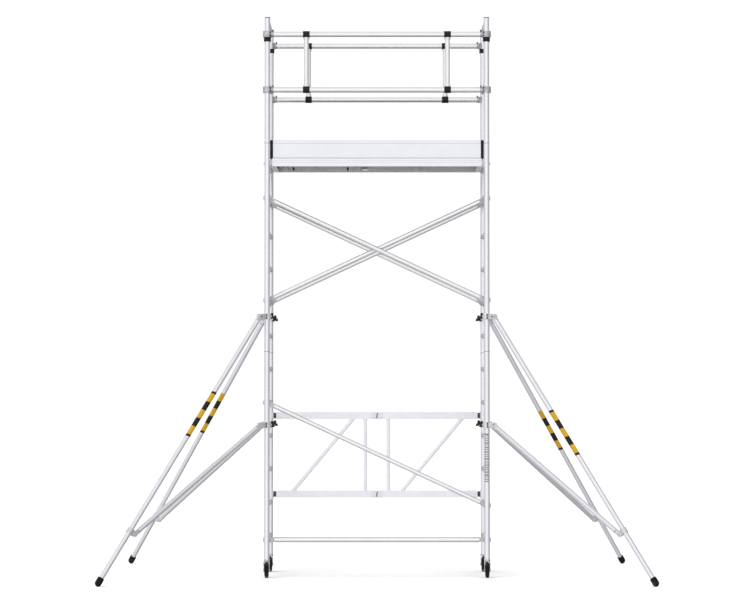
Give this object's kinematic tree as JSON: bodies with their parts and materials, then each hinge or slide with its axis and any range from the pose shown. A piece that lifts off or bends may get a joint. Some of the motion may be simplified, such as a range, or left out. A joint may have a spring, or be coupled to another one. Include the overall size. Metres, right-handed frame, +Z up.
{
  "type": "mobile tower scaffold",
  "caption": "Rolling aluminium access tower with ladder end frames, cross braces, folding truss base, hatch platform with toe boards, guardrails and swing-out outriggers.",
  "frame": {"origin": "on the floor under the middle of the tower, at the bottom centre of its bounding box", "axes": "+Z up; +X along the platform to the right as seen from the open front; +Y from the front to the side with the folding truss"},
  "size_m": [4.3906, 2.858, 4.592],
  "materials": {
    "frame_aluminium": "extruded, satin mill finish",
    "brace_aluminium": "drawn tube, satin",
    "truss_aluminium": "satin",
    "deck_aluminium": "extruded, satin",
    "outrigger_aluminium": "satin, with hazard tape bands",
    "cast_claw": "sand cast, matt",
    "coupler_cast": "cast, matt",
    "hinge_steel": "zinc plated",
    "zinc_steel": "zinc plated pressing",
    "black_plastic": "moulded, fine texture",
    "knob_plastic": "moulded",
    "brake_pedal": "black powder coat",
    "caster_tyre": "solid rubber",
    "foot_rubber": "moulded rubber",
    "deck_board": "film faced plywood, anti slip",
    "toe_board": "pale anodised"
  },
  "bodies": {
    "tower": {"base_diagonal_brace": "brace_aluminium", "base_frame_left": "frame_aluminium", "base_frame_right": "frame_aluminium", "base_horizontal_brace": "brace_aluminium", "brace_claws": "cast_claw", "caster_stems": "zinc_steel", "cross_braces_back": "brace_aluminium", "cross_braces_front": "brace_aluminium", "deck_frame": "deck_aluminium", "deck_panel": "deck_board", "guard_frame_left": "frame_aluminium", "guard_frame_right": "frame_aluminium", "guardrail_back": "brace_aluminium", "guardrail_claws": "cast_claw", "guardrail_front": "brace_aluminium", "post_and_rail_sleeves": "black_plastic", "toe_board_brackets": "black_plastic", "toe_boards": "toe_board", "truss_hinges": "hinge_steel", "truss_panel_left": "truss_aluminium", "truss_panel_right": "truss_aluminium", "upper_frame_left": "frame_aluminium", "upper_frame_right": "frame_aluminium"},
    "hatch": {"hatch_panel": "deck_board"},
    "caster_front_left": {"caster_front_left_fork": "zinc_steel"},
    "wheel_front_left": {"caster_front_left_wheel": "caster_tyre"},
    "brake_front_left": {"caster_front_left_brake": "brake_pedal"},
    "couplers_front_left": {"outrigger_front_left_couplers": "coupler_cast"},
    "leg_front_left": {"outrigger_front_left_leg": "outrigger_aluminium", "outrigger_front_left_foot": "foot_rubber"},
    "strut_front_left": {"outrigger_front_left_strut": "outrigger_aluminium"},
    "knob_upper_front_left": {"outrigger_front_left_knob_upper": "knob_plastic"},
    "knob_lower_front_left": {"outrigger_front_left_knob_lower": "knob_plastic"},
    "caster_front_right": {"caster_front_right_fork": "zinc_steel"},
    "wheel_front_right": {"caster_front_right_wheel": "caster_tyre"},
    "brake_front_right": {"caster_front_right_brake": "brake_pedal"},
    "couplers_front_right": {"outrigger_front_right_couplers": "coupler_cast"},
    "leg_front_right": {"outrigger_front_right_leg": "outrigger_aluminium", "outrigger_front_right_foot": "foot_rubber"},
    "strut_front_right": {"outrigger_front_right_strut": "outrigger_aluminium"},
    "knob_upper_front_right": {"outrigger_front_right_knob_upper": "knob_plastic"},
    "knob_lower_front_right": {"outrigger_front_right_knob_lower": "knob_plastic"},
    "caster_back_left": {"caster_back_left_fork": "zinc_steel"},
    "wheel_back_left": {"caster_back_left_wheel": "caster_tyre"},
    "brake_back_left": {"caster_back_left_brake": "brake_pedal"},
    "couplers_back_left": {"outrigger_back_left_couplers": "coupler_cast"},
    "leg_back_left": {"outrigger_back_left_leg": "outrigger_aluminium", "outrigger_back_left_foot": "foot_rubber"},
    "strut_back_left": {"outrigger_back_left_strut": "outrigger_aluminium"},
    "knob_upper_back_left": {"outrigger_back_left_knob_upper": "knob_plastic"},
    "knob_lower_back_left": {"outrigger_back_left_knob_lower": "knob_plastic"},
    "caster_back_right": {"caster_back_right_fork": "zinc_steel"},
    "wheel_back_right": {"caster_back_right_wheel": "caster_tyre"},
    "brake_back_right": {"caster_back_right_brake": "brake_pedal"},
    "couplers_back_right": {"outrigger_back_right_couplers": "coupler_cast"},
    "leg_back_right": {"outrigger_back_right_leg": "outrigger_aluminium", "outrigger_back_right_foot": "foot_rubber"},
    "strut_back_right": {"outrigger_back_right_strut": "outrigger_aluminium"},
    "knob_upper_back_right": {"outrigger_back_right_knob_upper": "knob_plastic"},
    "knob_lower_back_right": {"outrigger_back_right_knob_lower": "knob_plastic"}
  },
  "joints": [
    {"name": "hatch_lift", "type": "hinge", "parent": "tower", "child": "hatch", "pos_m": [-0.468, 0.278, 3.4395], "axis": [-1, 0, 0], "range_deg": [0, 95]},
    {"name": "caster_front_left_swivel", "type": "hinge", "parent": "tower", "child": "caster_front_left", "pos_m": [-0.9, -0.375, 0.135], "axis": [0, 0, 1], "continuous": true},
    {"name": "caster_front_left_spin", "type": "hinge", "parent": "caster_front_left", "child": "wheel_front_left", "pos_m": [-0.9, -0.405, 0.0625], "axis": [1, 0, 0], "continuous": true},
    {"name": "caster_front_left_brake", "type": "hinge", "parent": "caster_front_left", "child": "brake_front_left", "pos_m": [-0.9, -0.447, 0.1185], "axis": [1, 0, 0], "range_deg": [0, 10]},
    {"name": "outrigger_front_left_swing", "type": "hinge", "parent": "tower", "child": "couplers_front_left", "pos_m": [-0.9, -0.375, 2.13], "axis": [0, 0, 1], "range_deg": [-35, 48]},
    {"name": "outrigger_front_left_lift", "type": "hinge", "parent": "couplers_front_left", "child": "leg_front_left", "pos_m": [-0.9544, -0.41905, 2.13], "axis": [-0.6293, 0.7771, 0], "range_deg": [0, 75]},
    {"name": "outrigger_front_left_strut_fold", "type": "hinge", "parent": "leg_front_left", "child": "strut_front_left", "pos_m": [-1.90837, -1.19156, 0.39346], "axis": [-0.6293, 0.7771, 0], "range_deg": [-18.45, 0]},
    {"name": "outrigger_front_left_knob_upper_turn", "type": "hinge", "parent": "couplers_front_left", "child": "knob_upper_front_left", "pos_m": [-0.86013, -0.34272, 2.13], "axis": [0.7771, 0.6293, 0], "continuous": true},
    {"name": "outrigger_front_left_knob_lower_turn", "type": "hinge", "parent": "couplers_front_left", "child": "knob_lower_front_left", "pos_m": [-0.86013, -0.34272, 1.243], "axis": [0.7771, 0.6293, 0], "continuous": true},
    {"name": "caster_front_right_swivel", "type": "hinge", "parent": "tower", "child": "caster_front_right", "pos_m": [0.9, -0.375, 0.135], "axis": [0, 0, 1], "continuous": true},
    {"name": "caster_front_right_spin", "type": "hinge", "parent": "caster_front_right", "child": "wheel_front_right", "pos_m": [0.9, -0.405, 0.0625], "axis": [1, 0, 0], "continuous": true},
    {"name": "caster_front_right_brake", "type": "hinge", "parent": "caster_front_right", "child": "brake_front_right", "pos_m": [0.9, -0.447, 0.1185], "axis": [1, 0, 0], "range_deg": [0, 10]},
    {"name": "outrigger_front_right_swing", "type": "hinge", "parent": "tower", "child": "couplers_front_right", "pos_m": [0.9, -0.375, 2.13], "axis": [0, 0, 1], "range_deg": [-48, 35]},
    {"name": "outrigger_front_right_lift", "type": "hinge", "parent": "couplers_front_right", "child": "leg_front_right", "pos_m": [0.9544, -0.41905, 2.13], "axis": [-0.6293, -0.7771, 0], "range_deg": [0, 75]},
    {"name": "outrigger_front_right_strut_fold", "type": "hinge", "parent": "leg_front_right", "child": "strut_front_right", "pos_m": [1.90837, -1.19156, 0.39346], "axis": [-0.6293, -0.7771, 0], "range_deg": [-18.45, 0]},
    {"name": "outrigger_front_right_knob_upper_turn", "type": "hinge", "parent": "couplers_front_right", "child": "knob_upper_front_right", "pos_m": [0.86013, -0.34272, 2.13], "axis": [-0.7771, 0.6293, 0], "continuous": true},
    {"name": "outrigger_front_right_knob_lower_turn", "type": "hinge", "parent": "couplers_front_right", "child": "knob_lower_front_right", "pos_m": [0.86013, -0.34272, 1.243], "axis": [-0.7771, 0.6293, 0], "continuous": true},
    {"name": "caster_back_left_swivel", "type": "hinge", "parent": "tower", "child": "caster_back_left", "pos_m": [-0.9, 0.375, 0.135], "axis": [0, 0, 1], "continuous": true},
    {"name": "caster_back_left_spin", "type": "hinge", "parent": "caster_back_left", "child": "wheel_back_left", "pos_m": [-0.9, 0.345, 0.0625], "axis": [1, 0, 0], "continuous": true},
    {"name": "caster_back_left_brake", "type": "hinge", "parent": "caster_back_left", "child": "brake_back_left", "pos_m": [-0.9, 0.303, 0.1185], "axis": [1, 0, 0], "range_deg": [0, 10]},
    {"name": "outrigger_back_left_swing", "type": "hinge", "parent": "tower", "child": "couplers_back_left", "pos_m": [-0.9, 0.375, 2.13], "axis": [0, 0, 1], "range_deg": [-48, 35]},
    {"name": "outrigger_back_left_lift", "type": "hinge", "parent": "couplers_back_left", "child": "leg_back_left", "pos_m": [-0.9544, 0.41905, 2.13], "axis": [0.6293, 0.7771, 0], "range_deg": [0, 75]},
    {"name": "outrigger_back_left_strut_fold", "type": "hinge", "parent": "leg_back_left", "child": "strut_back_left", "pos_m": [-1.90837, 1.19156, 0.39346], "axis": [0.6293, 0.7771, 0], "range_deg": [-18.45, 0]},
    {"name": "outrigger_back_left_knob_upper_turn", "type": "hinge", "parent": "couplers_back_left", "child": "knob_upper_back_left", "pos_m": [-0.86013, 0.34272, 2.13], "axis": [0.7771, -0.6293, 0], "continuous": true},
    {"name": "outrigger_back_left_knob_lower_turn", "type": "hinge", "parent": "couplers_back_left", "child": "knob_lower_back_left", "pos_m": [-0.86013, 0.34272, 1.243], "axis": [0.7771, -0.6293, 0], "continuous": true},
    {"name": "caster_back_right_swivel", "type": "hinge", "parent": "tower", "child": "caster_back_right", "pos_m": [0.9, 0.375, 0.135], "axis": [0, 0, 1], "continuous": true},
    {"name": "caster_back_right_spin", "type": "hinge", "parent": "caster_back_right", "child": "wheel_back_right", "pos_m": [0.9, 0.345, 0.0625], "axis": [1, 0, 0], "continuous": true},
    {"name": "caster_back_right_brake", "type": "hinge", "parent": "caster_back_right", "child": "brake_back_right", "pos_m": [0.9, 0.303, 0.1185], "axis": [1, 0, 0], "range_deg": [0, 10]},
    {"name": "outrigger_back_right_swing", "type": "hinge", "parent": "tower", "child": "couplers_back_right", "pos_m": [0.9, 0.375, 2.13], "axis": [0, 0, 1], "range_deg": [-35, 48]},
    {"name": "outrigger_back_right_lift", "type": "hinge", "parent": "couplers_back_right", "child": "leg_back_right", "pos_m": [0.9544, 0.41905, 2.13], "axis": [0.6293, -0.7771, 0], "range_deg": [0, 75]},
    {"name": "outrigger_back_right_strut_fold", "type": "hinge", "parent": "leg_back_right", "child": "strut_back_right", "pos_m": [1.90837, 1.19156, 0.39346], "axis": [0.6293, -0.7771, 0], "range_deg": [-18.45, 0]},
    {"name": "outrigger_back_right_knob_upper_turn", "type": "hinge", "parent": "couplers_back_right", "child": "knob_upper_back_right", "pos_m": [0.86013, 0.34272, 2.13], "axis": [-0.7771, -0.6293, 0], "continuous": true},
    {"name": "outrigger_back_right_knob_lower_turn", "type": "hinge", "parent": "couplers_back_right", "child": "knob_lower_back_right", "pos_m": [0.86013, 0.34272, 1.243], "axis": [-0.7771, -0.6293, 0], "continuous": true}
  ],
  "couplings": [
    {"joint": "outrigger_front_left_strut_fold", "follows": "outrigger_front_left_lift", "ratio": -0.2453},
    {"joint": "outrigger_front_right_strut_fold", "follows": "outrigger_front_right_lift", "ratio": -0.2453},
    {"joint": "outrigger_back_left_strut_fold", "follows": "outrigger_back_left_lift", "ratio": -0.2453},
    {"joint": "outrigger_back_right_strut_fold", "follows": "outrigger_back_right_lift", "ratio": -0.2453}
  ]
}
